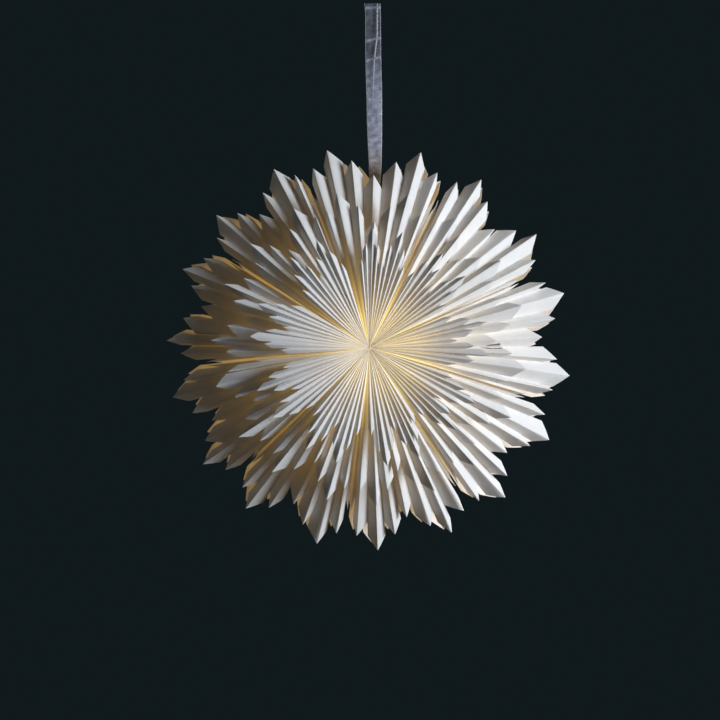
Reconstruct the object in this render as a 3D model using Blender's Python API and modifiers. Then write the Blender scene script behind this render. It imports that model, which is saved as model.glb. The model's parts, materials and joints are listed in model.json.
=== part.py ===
"""A pleated paper snowflake star, lit from inside, hanging on a doubled organza ribbon.

Metres, +Z up. The front of the star faces -Y and its axis runs along Y. The origin is the
top end of the ribbon, where the star is held. Nine leaves stand round the axis. Each leaf
is a set of pleated fans, three in front and two behind, that share one hinge on the axis.
"""

from math import cos, pi, radians, sin

import bmesh
import bpy
from mathutils import Matrix, Vector

# Star as a whole
STAR_X = -0.005  # the ribbon holds the top tooth, a little to the right of the axis
STAR_Z = -0.387
LEAF_COUNT = 9
TOP_LEAF_WIDTH = radians(45.0)  # the leaf that the ribbon pulls open
TOP_LEAF_ANGLE = radians(88.0)  # its middle, from +X, counter-clockwise seen from the front
WIDTH_STEP = radians(0.62)  # the leaves widen round the star, away from the seam
SLIT = radians(1.4)  # left open between neighbouring leaves
APEX_SHIFT = 0.0020  # each fan's folds meet this far out from the axis
INNER_RADIUS = 0.0060  # where the folds are gathered round the centre knot
PAPER = 0.00035

# Teeth: long, middle and short, as seen from the front
OUTER_TIPS = {"L": 0.225, "M": 0.209, "S": 0.192}
MID_TIPS = {"L": 0.172, "M": 0.156, "S": 0.1385}
INNER_TIPS = {"L": 0.129, "M": 0.113, "S": 0.0955}
WIDE_PATTERN = "MLMSMLM"
NARROW_PATTERN = "SMLMSMLMS"
OUTER_DROP = 0.0156  # from a tooth's tip to the end of the valley beside it
MID_DROP = 0.0133
INNER_DROP = 0.0090

# Height of each layer: its apex on the axis, and how far its folds rise per metre of radius
OUTER_APEX = 0.0520
MID_APEX = 0.0545
INNER_APEX = 0.0570
OUTER_RIDGE, OUTER_VALLEY, OUTER_EDGE = -0.142, -0.190, -0.202
MID_RIDGE, MID_VALLEY, MID_EDGE = 0.033, -0.015, -0.028
INNER_RIDGE, INNER_VALLEY, INNER_EDGE = 0.211, 0.176, 0.167
INNER_PITCH = radians(3.9)
TOP_INNER_PITCH = radians(3.6)
INNER_SKEW = (-6.7, -5.2, 0.0, 3.5, 2.3, 3.7, 1.5, 1.2, -0.4)  # degrees, leaf by leaf

# The back is the front mirrored, turned a little and a little smaller
BACK_TURN = radians(-1.5)
BACK_SCALE = 0.990

# Ribbon and flex
RIBBON_WIDTH = 0.0180
RIBBON_LOW_WIDTH = 0.0145
RIBBON_THICK = 0.0005
STRAND_Y = 0.0017  # the two strands run either side of the flex
END_LOW = -0.0055
BEND_HIGH, BEND_LOW = -0.0085, -0.0125
STRAND_HIGH, STRAND_LOW = -0.0150, -0.1500
TAIL_HIGH, TAIL_LOW = -0.1503, -0.2300
SWING_Z = -0.0070
TILT_Z = -0.01375
FLEX_RADIUS = 0.0011
KNOT_SIZE = (0.0150, 0.0110, 0.0100)

# Centre knots and the yoke cord between them
KNOT_RADIUS = 0.0030
SHANK_RADIUS = 0.0012
KNOT_Y = 0.0595
SHANK_END_Y = 0.0465
YOKE_RADIUS = 0.0008
YOKE_Y = 0.0440
YOKE_PASS_X = -0.0035  # it passes the flex on the left
YOKE_HALF_LOOP = 0.0040

# Lamp, hanging on its flex inside the star
HOLDER_RADIUS = 0.0140
HOLDER_MOUTH = 0.0110
HOLDER_BORE = 0.0076  # the thread's inside, round the bulb's cap
HOLDER_TOP = STAR_Z + 0.0620
HOLDER_LOW = STAR_Z + 0.0240
HOLDER_ROOF = 0.0140
HOLDER_SHOULDER = 0.0040
MOUTH_DEPTH = 0.0060
GRIP_RADIUS = 0.0060
GRIP_TOP_RADIUS = 0.0033
GRIP_HEIGHT = 0.0100
GLOBE_RADIUS = 0.0225
GLOBE_Z = STAR_Z - 0.0120
GLOBE_WALL = 0.0010
NECK_ARC = radians(22.0)  # half the angle that the neck opens in the globe
NECK_RADIUS = 0.0085
NECK_Z = GLOBE_Z + 0.0330
CAP_RADIUS = 0.0070
CAP_TOP = GLOBE_Z + 0.0560
CAP_SHOULDER = 0.0030
CAP_FLARE = 0.0020
CONTACT_RADIUS = 0.0025
CONTACT_FOOT_RADIUS = 0.0035
CONTACT_HEIGHT = 0.0020
FIT_GAP = 0.0003

# Seam tape, a web across the side of the top leaf, in the slit that opens
TAPE_THICK = 0.0005
TAPE_INNER, TAPE_OUTER = 0.120, 0.170
TAPE_ANGLE = radians(0.45)  # from the middle of the slit

# How finely round things are made
CORD_RESOLUTION = 2
KNOT_SEGMENTS, KNOT_RINGS = 16, 8
TAIL_KNOT_SUBDIVISIONS = 2
TURNED_SEGMENTS = 24
GLOBE_ARC_STEPS = 10
SHARP_ANGLE = radians(40.0)
WELD = 0.00001

# Finishes: colour, roughness, metallic
PAPER_WHITE = ((0.86, 0.85, 0.82), 0.75, 0.0)
TAPE_WHITE = ((0.88, 0.88, 0.86), 0.60, 0.0)
ORGANZA = ((0.62, 0.62, 0.68), 0.50, 0.0)
THREAD_WHITE = ((0.88, 0.87, 0.84), 0.80, 0.0)
JACKET_WHITE = ((0.85, 0.85, 0.83), 0.40, 0.0)
HOLDER_WHITE = ((0.90, 0.90, 0.88), 0.35, 0.0)
CAP_METAL = ((0.75, 0.74, 0.70), 0.30, 1.0)
OPAL = ((1.0, 0.93, 0.78), 0.25, 0.0)


def clear_scene():
    for item in list(bpy.data.objects):
        bpy.data.objects.remove(item, do_unlink=True)


def new_collection(name):
    collection = bpy.data.collections.new(name)
    bpy.context.scene.collection.children.link(collection)
    return collection


def new_material(name, finish):
    color, roughness, metallic = finish
    material = bpy.data.materials.new(name)
    material.use_nodes = True
    shader = material.node_tree.nodes["Principled BSDF"]
    shader.inputs["Base Color"].default_value = (*color, 1.0)
    shader.inputs["Roughness"].default_value = roughness
    shader.inputs["Metallic"].default_value = metallic
    return material


def new_pivot(name, location, parent=None):
    """An empty on a joint's axis, which carries the pieces that turn with it."""
    pivot = bpy.data.objects.new(name, None)
    parts.objects.link(pivot)
    pivot.matrix_world = Matrix.Translation(location)
    if parent:
        pivot.parent = parent
        pivot.matrix_parent_inverse = parent.matrix_world.inverted()
    return pivot


def add_piece(name, mesh, parent, finish):
    """Put a mesh made in world coordinates under its pivot, with the origin on the pivot."""
    mesh.transform(Matrix.Translation(-parent.matrix_world.translation))
    piece = bpy.data.objects.new(name, mesh)
    parts.objects.link(piece)
    piece.parent = parent
    piece.data.materials.append(new_material(name, finish))
    bpy.context.view_layer.update()
    return piece


def mesh_from(shape, name):
    mesh = bpy.data.meshes.new(name)
    bmesh.ops.recalc_face_normals(shape, faces=shape.faces)
    shape.to_mesh(mesh)
    shape.free()
    return mesh


# Leaves and fans ---------------------------------------------------------------------------


def leaf_width(index):
    """The top leaf is the widest; the other eight share the rest, a step wider each time."""
    if index == 0:
        return TOP_LEAF_WIDTH
    others = LEAF_COUNT - 1
    mean = (2 * pi - TOP_LEAF_WIDTH) / others
    return mean + WIDTH_STEP * (index - 1 - (others - 1) / 2)


def leaf_angle(index):
    """The middle of a leaf, counted counter-clockwise from the top leaf."""
    angle = TOP_LEAF_ANGLE
    for before in range(index):
        angle += (leaf_width(before) + leaf_width(before + 1)) / 2
    return angle


def fold_lines(pattern, tips, half_span, ridge, valley, edge):
    """Each fold as (angle, slope, tip radius), tip radius 0 for a valley."""
    pitch = 2 * half_span / len(pattern)
    folds = [(-half_span, edge, 0.0)]
    for place, tooth in enumerate(pattern):
        middle = -half_span + pitch * (place + 0.5)
        folds.append((middle, ridge, tips[tooth]))
        folds.append((middle + pitch / 2, valley, 0.0))
    folds[-1] = (half_span, edge, 0.0)
    return folds


def fan_mesh(name, folds, angle, apex, drop, side, scale):
    """One pleated sheet. Every fold runs straight out of the apex, so each facet is flat."""
    shape = bmesh.new()
    middle = Vector((cos(angle), 0.0, sin(angle)))
    centre = Vector((STAR_X, 0.0, STAR_Z)) + middle * APEX_SHIFT

    def point(fold, radius):
        turn, slope, _ = folds[fold]
        along = Vector((cos(angle + turn), 0.0, sin(angle + turn)))
        height = apex + slope * radius
        return centre + along * (radius - APEX_SHIFT) * scale + Vector((0.0, side * height, 0.0))

    def corner(fold, radius):
        key = (fold, round(radius, 6))
        if key not in corners:
            corners[key] = shape.verts.new(point(fold, radius))
        return corners[key]

    corners = {}
    for ridge in range(1, len(folds), 2):
        tip = folds[ridge][2]
        for valley in (ridge - 1, ridge + 1):
            beyond = 2 * valley - ridge
            beyond_tip = folds[beyond][2] if 0 < beyond < len(folds) else tip
            outline = [corner(ridge, INNER_RADIUS), corner(ridge, tip), corner(valley, tip - drop)]
            if beyond_tip < tip:
                outline.append(corner(valley, beyond_tip - drop))
            outline.append(corner(valley, INNER_RADIUS))
            shape.faces.new(outline)
    return mesh_from(shape, name)


def add_fan(leaf, name, folds, turn, apex, drop, side):
    back = side > 0
    scale = BACK_SCALE if back else 1.0
    angle = leaf_angle(leaf) + turn + (BACK_TURN if back else 0.0)
    mesh = fan_mesh(name, folds, angle, apex, drop, side, scale)
    fan = add_piece(name, mesh, leaf_pivots[leaf], PAPER_WHITE)
    paper = fan.modifiers.new("paper", "SOLIDIFY")
    paper.thickness = PAPER
    paper.offset = 0.0
    paper.use_even_offset = True
    paper.use_quality_normals = True


def add_leaf(leaf):
    """Outer, mid and inner fans in front; outer and inner fans behind."""
    half = (leaf_width(leaf) - SLIT) / 2
    outer = fold_lines(WIDE_PATTERN, OUTER_TIPS, half, OUTER_RIDGE, OUTER_VALLEY, OUTER_EDGE)
    mid = fold_lines(WIDE_PATTERN, MID_TIPS, half, MID_RIDGE, MID_VALLEY, MID_EDGE)
    pitch = INNER_PITCH if leaf else TOP_INNER_PITCH
    half_inner = pitch * len(NARROW_PATTERN) / 2
    slopes = (INNER_RIDGE, INNER_VALLEY, INNER_EDGE)
    inner = fold_lines(NARROW_PATTERN, INNER_TIPS, half_inner, *slopes)
    skew = radians(INNER_SKEW[leaf])
    stem = f"leaf_{leaf + 1}"
    add_fan(leaf, f"{stem}_front_outer_fan", outer, 0.0, OUTER_APEX, OUTER_DROP, -1)
    add_fan(leaf, f"{stem}_front_mid_fan", mid, 0.0, MID_APEX, MID_DROP, -1)
    add_fan(leaf, f"{stem}_front_inner_fan", inner, skew, INNER_APEX, INNER_DROP, -1)
    add_fan(leaf, f"{stem}_back_outer_fan", outer, 0.0, OUTER_APEX, OUTER_DROP, 1)
    add_fan(leaf, f"{stem}_back_inner_fan", inner, skew, INNER_APEX, INNER_DROP, 1)


# Ribbon, flex and cords --------------------------------------------------------------------


def ribbon_width_at(z):
    """The ribbon narrows evenly from its top end to its tail."""
    return RIBBON_WIDTH + (RIBBON_LOW_WIDTH - RIBBON_WIDTH) * z / TAIL_LOW


def strip(name, high, low, y, thick):
    """A flat length of ribbon between two heights, tapered to the ribbon's width."""
    shape = bmesh.new()
    bmesh.ops.create_cube(shape, size=1.0)
    for corner in shape.verts:
        z = high if corner.co.z > 0 else low
        corner.co = Vector((corner.co.x * ribbon_width_at(z), y + corner.co.y * thick, z))
    return mesh_from(shape, name)


def round_cord(name, points, radius):
    """A cord through the points: a bevelled poly curve, made a welded mesh."""
    curve = bpy.data.curves.new(name, "CURVE")
    curve.dimensions = "3D"
    curve.bevel_depth = radius
    curve.bevel_resolution = CORD_RESOLUTION
    curve.use_fill_caps = True
    spline = curve.splines.new("POLY")
    spline.points.add(len(points) - 1)
    for place, co in zip(spline.points, points):
        place.co = (*co, 1.0)
    holder = bpy.data.objects.new(name, curve)
    bpy.context.scene.collection.objects.link(holder)
    graph = bpy.context.evaluated_depsgraph_get()
    mesh = bpy.data.meshes.new_from_object(holder.evaluated_get(graph))
    bpy.data.objects.remove(holder, do_unlink=True)
    shape = bmesh.new()
    shape.from_mesh(mesh)
    bmesh.ops.remove_doubles(shape, verts=shape.verts, dist=WELD)
    return mesh_from(shape, name)


def tail_knot():
    """The lump where both strands are knotted round the yoke cord."""
    shape = bmesh.new()
    bmesh.ops.create_icosphere(shape, subdivisions=TAIL_KNOT_SUBDIVISIONS, radius=0.5)
    for corner in shape.verts:
        corner.co = Vector([c * size for c, size in zip(corner.co, KNOT_SIZE)])
        corner.co.z += TAIL_LOW
    return mesh_from(shape, "ribbon_tail_knot")


def add_ribbon():
    both = 2 * STRAND_Y + RIBBON_THICK
    add_piece("ribbon_end", strip("ribbon_end", 0.0, END_LOW, 0.0, both), hang_point, ORGANZA)
    bend = strip("ribbon_bend", BEND_HIGH, BEND_LOW, 0.0, both)
    add_piece("ribbon_bend", bend, swing_pivot, ORGANZA)
    for name, y in (("ribbon_front_strand", -STRAND_Y), ("ribbon_back_strand", STRAND_Y)):
        strand = strip(name, STRAND_HIGH, STRAND_LOW, y, RIBBON_THICK)
        add_piece(name, strand, tilt_pivot, ORGANZA)
    flex = round_cord("flex_upper", [(0, 0, STRAND_HIGH), (0, 0, STRAND_LOW)], FLEX_RADIUS)
    add_piece("flex_upper", flex, tilt_pivot, JACKET_WHITE)
    tail = strip("ribbon_tail", TAIL_HIGH, TAIL_LOW, -STRAND_Y, RIBBON_THICK)
    piece = add_piece("ribbon_tail", tail, turn_pivot, ORGANZA)
    back_tail = strip("back_tail", TAIL_HIGH, TAIL_LOW, STRAND_Y, RIBBON_THICK)
    join_meshes(piece, [back_tail, tail_knot()])


def join_meshes(piece, meshes):
    """Boolean unions of a piece with cutters that stand in world coordinates."""
    for mesh in meshes:
        tool = bpy.data.objects.new(mesh.name, mesh)
        cutters.objects.link(tool)
        tool.hide_render = True
        tool.display_type = "WIRE"
        union = piece.modifiers.new(mesh.name, "BOOLEAN")
        union.operation = "UNION"
        union.object = tool


def add_centre_knots():
    """A knot on each side of the star, with a shank through the gathered folds."""
    for name, side in (("front_centre_knot", -1), ("back_centre_knot", 1)):
        shape = bmesh.new()
        bmesh.ops.create_uvsphere(
            shape, u_segments=KNOT_SEGMENTS, v_segments=KNOT_RINGS, radius=KNOT_RADIUS)
        knot = mesh_from(shape, name)
        knot.transform(Matrix.Translation((STAR_X, side * KNOT_Y, STAR_Z)))
        piece = add_piece(name, knot, turn_pivot, THREAD_WHITE)
        ends = [(STAR_X, side * KNOT_Y, STAR_Z), (STAR_X, side * SHANK_END_Y, STAR_Z)]
        join_meshes(piece, [round_cord(f"{name}_shank", ends, SHANK_RADIUS)])


def add_yoke():
    """One cord from the front knot, up round the ribbon's knot and down to the back knot."""
    below_knot = TAIL_LOW - KNOT_SIZE[2] / 2 - YOKE_RADIUS - FIT_GAP
    points = [
        (STAR_X, -YOKE_Y, STAR_Z),
        (YOKE_PASS_X, -YOKE_HALF_LOOP, below_knot),
        (YOKE_PASS_X, YOKE_HALF_LOOP, below_knot),
        (STAR_X, YOKE_Y, STAR_Z),
    ]
    cord = round_cord("yoke_cord", points, YOKE_RADIUS)
    add_piece("yoke_cord", cord, turn_pivot, THREAD_WHITE)


def turned(name, profile):
    """A turned shape about the flex's line, from (radius, height) pairs, top to bottom outside."""
    mesh = bpy.data.meshes.new(name)
    closed = [(i, (i + 1) % len(profile)) for i in range(len(profile))]
    mesh.from_pydata([(radius, 0.0, height) for radius, height in profile], closed, [])
    lathe = bpy.data.objects.new(name, mesh)
    bpy.context.scene.collection.objects.link(lathe)
    screw = lathe.modifiers.new("turn", "SCREW")
    screw.steps = TURNED_SEGMENTS
    screw.render_steps = TURNED_SEGMENTS
    screw.use_merge_vertices = True
    screw.merge_threshold = WELD
    graph = bpy.context.evaluated_depsgraph_get()
    result = bpy.data.meshes.new_from_object(lathe.evaluated_get(graph))
    bpy.data.objects.remove(lathe, do_unlink=True)
    shape = bmesh.new()
    shape.from_mesh(result)
    bmesh.ops.remove_doubles(shape, verts=shape.verts, dist=WELD)
    solid = mesh_from(shape, name)
    solid.shade_smooth()
    solid.set_sharp_from_angle(angle=SHARP_ANGLE)
    return solid


def add_flex_and_grip():
    """The flex below the ribbon's knot, and the grip that holds it in the lamp holder."""
    flex_low = HOLDER_TOP + GRIP_HEIGHT + FIT_GAP
    knot_low = TAIL_LOW - KNOT_SIZE[2] / 2
    flex = round_cord("flex_lower", [(0, 0, knot_low - FIT_GAP), (0, 0, flex_low)], FLEX_RADIUS)
    add_piece("flex_lower", flex, turn_pivot, JACKET_WHITE)
    grip = [
        (0.0, HOLDER_TOP + GRIP_HEIGHT),
        (GRIP_TOP_RADIUS, HOLDER_TOP + GRIP_HEIGHT),
        (GRIP_RADIUS, HOLDER_TOP + FIT_GAP),
        (0.0, HOLDER_TOP + FIT_GAP),
    ]
    add_piece("cord_grip", turned("cord_grip", grip), turn_pivot, HOLDER_WHITE)


def add_lamp_holder():
    """A cup, open below, whose bore takes the bulb's cap."""
    holder = [
        (0.0, HOLDER_TOP),
        (HOLDER_RADIUS - HOLDER_SHOULDER, HOLDER_TOP),
        (HOLDER_RADIUS, HOLDER_TOP - HOLDER_SHOULDER),
        (HOLDER_RADIUS, HOLDER_LOW),
        (HOLDER_MOUTH, HOLDER_LOW),
        (HOLDER_BORE, HOLDER_LOW + MOUTH_DEPTH),
        (HOLDER_BORE, HOLDER_TOP - HOLDER_ROOF),
        (0.0, HOLDER_TOP - HOLDER_ROOF),
    ]
    add_piece("lamp_holder", turned("lamp_holder", holder), turn_pivot, HOLDER_WHITE)


def globe_profile():
    """An opal shell, open at its neck: down the outside and back up the inside."""
    start = pi / 2 - NECK_ARC
    step = (start + pi / 2) / GLOBE_ARC_STEPS
    angles = [start - step * i for i in range(GLOBE_ARC_STEPS)]
    inner = GLOBE_RADIUS - GLOBE_WALL
    outside = [(GLOBE_RADIUS * cos(a), GLOBE_Z + GLOBE_RADIUS * sin(a)) for a in angles]
    inside = [(inner * cos(a), GLOBE_Z + inner * sin(a)) for a in reversed(angles)]
    bottom = [(0.0, GLOBE_Z - GLOBE_RADIUS), (0.0, GLOBE_Z - inner)]
    neck = (NECK_RADIUS, NECK_Z)
    return [neck] + outside + bottom + inside + [(NECK_RADIUS - GLOBE_WALL, NECK_Z)]


def add_bulb():
    """The bulb's cap, with its contact on top, and its globe."""
    cap = [
        (0.0, CAP_TOP + CONTACT_HEIGHT),
        (CONTACT_RADIUS, CAP_TOP + CONTACT_HEIGHT),
        (CONTACT_FOOT_RADIUS, CAP_TOP),
        (CAP_RADIUS, CAP_TOP - CAP_SHOULDER),
        (CAP_RADIUS, NECK_Z + CAP_FLARE),
        (NECK_RADIUS, NECK_Z + FIT_GAP),
        (0.0, NECK_Z + FIT_GAP),
    ]
    add_piece("bulb_cap", turned("bulb_cap", cap), bulb_pivot, CAP_METAL)
    add_piece("bulb_globe", turned("bulb_globe", globe_profile()), bulb_pivot, OPAL)


def add_seam_tape():
    """A web across the top leaf's side, from its front fan's edge to its back fan's edge."""
    front_angle = TOP_LEAF_ANGLE + TOP_LEAF_WIDTH / 2 - TAPE_ANGLE
    shape = bmesh.new()
    bmesh.ops.create_cube(shape, size=1.0)
    for corner in shape.verts:
        radius = TAPE_INNER if corner.co.x < 0 else TAPE_OUTER
        half_width = OUTER_APEX + OUTER_EDGE * radius
        angle = front_angle + (BACK_TURN if corner.co.y > 0 else 0.0)
        out = Vector((cos(angle), 0.0, sin(angle)))
        sideways = Vector((-sin(angle), 0.0, cos(angle))) * TAPE_THICK * corner.co.z
        depth = Vector((STAR_X, 2 * half_width * corner.co.y, STAR_Z))
        corner.co = depth + out * radius + sideways
    bmesh.ops.triangulate(shape, faces=shape.faces)  # the web twists, so its quads aren't flat
    add_piece("seam_tape", mesh_from(shape, "seam_tape"), leaf_pivots[0], TAPE_WHITE)


clear_scene()
parts = new_collection("paper_snowflake_star")
cutters = new_collection("cutters")

hang_point = new_pivot("hang_point", (0.0, 0.0, 0.0))
swing_pivot = new_pivot("swing_pivot", (0.0, 0.0, SWING_Z), hang_point)
tilt_pivot = new_pivot("tilt_pivot", (0.0, 0.0, TILT_Z), swing_pivot)
turn_pivot = new_pivot("turn_pivot", (0.0, 0.0, TAIL_HIGH), tilt_pivot)
bulb_pivot = new_pivot("bulb_pivot", (0.0, 0.0, GLOBE_Z), turn_pivot)
leaf_pivots = [
    new_pivot(f"leaf_{leaf + 1}_pivot", (STAR_X, 0.0, STAR_Z), turn_pivot)
    for leaf in range(LEAF_COUNT)
]

for leaf in range(LEAF_COUNT):
    add_leaf(leaf)
add_ribbon()
add_centre_knots()
add_yoke()
add_flex_and_grip()
add_lamp_holder()
add_bulb()
add_seam_tape()
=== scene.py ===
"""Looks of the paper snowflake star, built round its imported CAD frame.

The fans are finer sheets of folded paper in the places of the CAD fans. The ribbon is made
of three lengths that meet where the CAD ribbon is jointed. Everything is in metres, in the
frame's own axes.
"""

import json
from math import cos, exp, pi, radians, sin
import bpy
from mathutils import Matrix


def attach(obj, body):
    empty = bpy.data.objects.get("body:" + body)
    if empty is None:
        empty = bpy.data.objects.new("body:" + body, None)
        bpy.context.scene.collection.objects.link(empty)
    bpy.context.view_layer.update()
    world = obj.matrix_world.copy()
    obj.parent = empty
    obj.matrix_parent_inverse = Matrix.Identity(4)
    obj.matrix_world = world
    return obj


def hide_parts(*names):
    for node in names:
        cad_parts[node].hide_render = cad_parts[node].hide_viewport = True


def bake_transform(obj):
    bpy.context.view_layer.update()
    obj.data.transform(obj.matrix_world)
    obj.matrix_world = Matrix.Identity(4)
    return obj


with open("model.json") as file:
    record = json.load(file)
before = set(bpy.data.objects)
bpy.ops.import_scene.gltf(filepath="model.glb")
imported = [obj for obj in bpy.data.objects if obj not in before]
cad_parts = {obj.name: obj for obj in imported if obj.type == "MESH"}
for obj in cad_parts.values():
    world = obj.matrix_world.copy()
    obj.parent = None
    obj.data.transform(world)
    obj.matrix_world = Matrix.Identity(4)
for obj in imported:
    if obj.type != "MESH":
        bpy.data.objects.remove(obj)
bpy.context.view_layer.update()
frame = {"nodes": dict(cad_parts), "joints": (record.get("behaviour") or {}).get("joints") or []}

from types import SimpleNamespace

import bmesh
import bpy
import numpy as np
from mathutils import Vector

JOINTS = {joint["name"]: joint for joint in frame["joints"]}
STAR = Vector(JOINTS["seam_open"]["pos_m"])  # the star's centre

# Folds: how each leaf is pleated ------------------------------------------------------------

LEAF_COUNT = 9
TOP_LEAF_WIDTH = radians(45.0)
TOP_LEAF_ANGLE = radians(88.0)  # its middle, from +X, anticlockwise seen from the front
WIDTH_STEP = radians(0.62)  # each leaf after it is this much wider than the one before
SLIT = radians(1.0)  # left open between neighbouring leaves
APEX_SHIFT = 0.0008  # each fan's folds meet this far out from the axis
INNER_RADIUS = 0.0017  # where the paper is gathered round the centre knot
PAPER = 0.00026
CREASE = 0.00016  # half the width of a rounded fold line
CREASE_SHARE = 0.12  # and never more than this share of a facet
CREASE_ROUND = 0.5  # how far a fold line is flattened, in shares of its own depth
EDGE_TOOTH = 0.20  # width of the recessed half tooth beside each slit, in pitches
EDGE_DROP = 0.0105  # how much shorter it is than a short tooth
# Rows of points along a fold, as shares of its length
STATIONS = (0.0, 0.05, 0.12, 0.22, 0.34, 0.47, 0.60, 0.72, 0.83, 0.92, 1.0)
INNER_SKEW = (-6.7, -5.2, 0.0, 3.5, 2.3, 3.7, 1.5, 1.2, -0.4)  # degrees, leaf by leaf
BACK_TURN = radians(-1.5)  # the back fans stand a little round from the front ones
BACK_SCALE = 0.990

# A layer's fans: tooth lengths, the valleys' drop from a tooth's tip, the height of the folds'
# meeting point, how much ridges, valleys and edges rise for each metre outward, whether the fan
# is narrower than its leaf, and how uneven its ridges' heights are
OUTER = SimpleNamespace(
    name="outer", pattern="MLMSMLM", tips={"L": 0.225, "M": 0.209, "S": 0.192}, drop=0.0156,
    apex=0.0520, ridge=-0.142, valley=-0.190, edge=-0.202, edge_tooth=-0.186, narrow=False,
    heave=0.06)
MID = SimpleNamespace(
    name="mid", pattern="MLMSMLM", tips={"L": 0.172, "M": 0.156, "S": 0.1385}, drop=0.0133,
    apex=0.0545, ridge=0.033, valley=-0.015, edge=-0.028, edge_tooth=-0.012, narrow=False,
    heave=0.07)
INNER = SimpleNamespace(
    name="inner", pattern="SMLMSMLMS", tips={"L": 0.129, "M": 0.113, "S": 0.0955}, drop=0.0090,
    apex=0.0570, ridge=0.211, valley=0.176, edge=0.167, edge_tooth=None, narrow=True,
    heave=0.20)
INNER_PITCH = radians(3.9)
TOP_INNER_PITCH = radians(3.6)

# How unevenly a person's hands leave the folds; angles are in pitches
LEAF_SEED = 100
FAN_SEED = 1000
ANGLE_SPREAD = 0.085  # shared by a leaf's layers
LAYER_SPREAD = 0.035
LEAN_SPREAD = 0.055  # sideways, growing towards the tip
CURL_SPREAD = 0.0007  # up or down, growing towards the tip
REACH_POWER = 3
BULGE_SPREAD = 0.00016  # of a facet between its folds
MOST = 1.8  # the largest unevenness, in spreads

# Towards the centre, where the paper is gathered, the folds close up and stand steeper
GATHER = 0.6
GATHER_REACH = 0.032

# The inner fans spread towards each other at the centre: share of each gap closed there,
# anticlockwise from the one after the top leaf
GAP_CLOSING = (0.0, 0.9, 0.97, 0.97, 0.97, 0.85, 0.45, 0.35, 0.35)
GAP_REACH = 0.058
LEAST_GAP = radians(1.15)

# Some leaves, counted from 0 at the top, have a glued lap that runs under the leaf before
LAPPED = (4, 5, 7, 8)
LAP_WIDTH = radians(1.5)
LAP_RISE = -0.250
SEAM_CLOSER = radians(0.35)  # the seam's slit is narrower, because it only ever opens


def uneven(rng, spread):
    """A random amount of about the size of spread, never past MOST times it."""
    return spread * float(np.clip(rng.normal(), -MOST, MOST))


def leaf_width(index):
    if index == 0:
        return TOP_LEAF_WIDTH
    others = LEAF_COUNT - 1
    mean = (2 * pi - TOP_LEAF_WIDTH) / others
    return mean + WIDTH_STEP * (index - 1 - (others - 1) / 2)


def leaf_angle(index):
    """The leaf's middle, from +X."""
    angle = TOP_LEAF_ANGLE
    for before in range(index):
        angle += (leaf_width(before) + leaf_width(before + 1)) / 2
    return angle


def leaf_body(index):
    return "star_core" if index == 0 else f"leaf_{index + 1}"


def inner_half(leaf):
    """Half the angle that a leaf's inner fan covers."""
    return (INNER_PITCH if leaf else TOP_INNER_PITCH) * len(INNER.pattern) / 2


def inner_gap(leaf):
    """Angle from a leaf's inner fan to the next leaf's, anticlockwise."""
    after = (leaf + 1) % LEAF_COUNT
    turn = (leaf_angle(after) - leaf_angle(leaf)) % (2 * pi)
    skew = radians(INNER_SKEW[after] - INNER_SKEW[leaf])
    return turn + skew - inner_half(leaf) - inner_half(after)


def close_gaps(grid, leaf):
    """Spread an inner fan towards its neighbours near the centre."""
    before = (leaf - 1) % LEAF_COUNT
    near = np.exp(-(grid[:, :, 2] / GAP_REACH) ** 2)
    for sign, border in ((1, leaf), (-1, before)):
        room = max(inner_gap(border) - LEAST_GAP, 0.0) / 2
        wider = 1 + GAP_CLOSING[border] * room / inner_half(leaf) * near
        chosen = grid[:, :, 0] * sign > 0
        grid[:, :, 0] = np.where(chosen, grid[:, :, 0] * wider, grid[:, :, 0])


def folds_of(layer, half, shared, rng, lapped):
    """Ridges and valleys in turn, each with its angle, rise, tip radius and unevenness."""
    pitch = 2 * half / len(layer.pattern)
    folds = []

    def add(angle, rise, tip, ridge, loose=True):
        folds.append(SimpleNamespace(
            angle=angle, rise=rise, tip=tip, ridge=ridge,
            lean=uneven(rng, LEAN_SPREAD) * pitch * loose, curl=uneven(rng, CURL_SPREAD)))

    edge_width = EDGE_TOOTH * pitch
    if lapped:
        add(-half - LAP_WIDTH, LAP_RISE, 0.0, False, loose=False)
    if layer.edge_tooth is not None:
        add(-half, layer.edge_tooth, layer.tips["S"] - EDGE_DROP, True, loose=False)
        add(-half + edge_width, layer.edge, 0.0, False, loose=False)
    else:
        add(-half, layer.edge, 0.0, False)
    for place, tooth in enumerate(layer.pattern):
        middle = -half + pitch * (place + 0.5)
        nudge = pitch * (shared[2 * place] * ANGLE_SPREAD + uneven(rng, LAYER_SPREAD))
        depth = (layer.ridge - layer.valley) * uneven(rng, layer.heave)
        add(middle + nudge, layer.ridge + depth, layer.tips[tooth], True)
        if place < len(layer.pattern) - 1:
            nudge = pitch * (shared[2 * place + 1] * ANGLE_SPREAD + uneven(rng, LAYER_SPREAD))
            add(middle + pitch / 2 + nudge, layer.valley, 0.0, False)
    if layer.edge_tooth is not None:
        add(half - edge_width, layer.edge, 0.0, False, loose=False)
        add(half, layer.edge_tooth, layer.tips["S"] - EDGE_DROP, True, loose=False)
    else:
        add(half, layer.edge, 0.0, False)
    return folds


FROM_RIDGE = ("ridge", "by_ridge", "quarter", "middle", "three_quarters", "by_valley")
FROM_VALLEY = ("valley", "by_valley", "three_quarters", "middle", "quarter", "by_ridge")


def across(place, near):
    """Where across its facet a place is, from 0 on the ridge to 1 on the valley."""
    return {"ridge": 0.0, "by_ridge": near, "quarter": 0.25, "middle": 0.5,
            "three_quarters": 0.75, "by_valley": 1 - near, "valley": 1.0}[place]


def facets_of(folds):
    """Each facet's (ridge, valley, whether the ridge comes first)."""
    for left, right in zip(folds, folds[1:]):
        yield (left, right, True) if left.ridge else (right, left, False)


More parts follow.
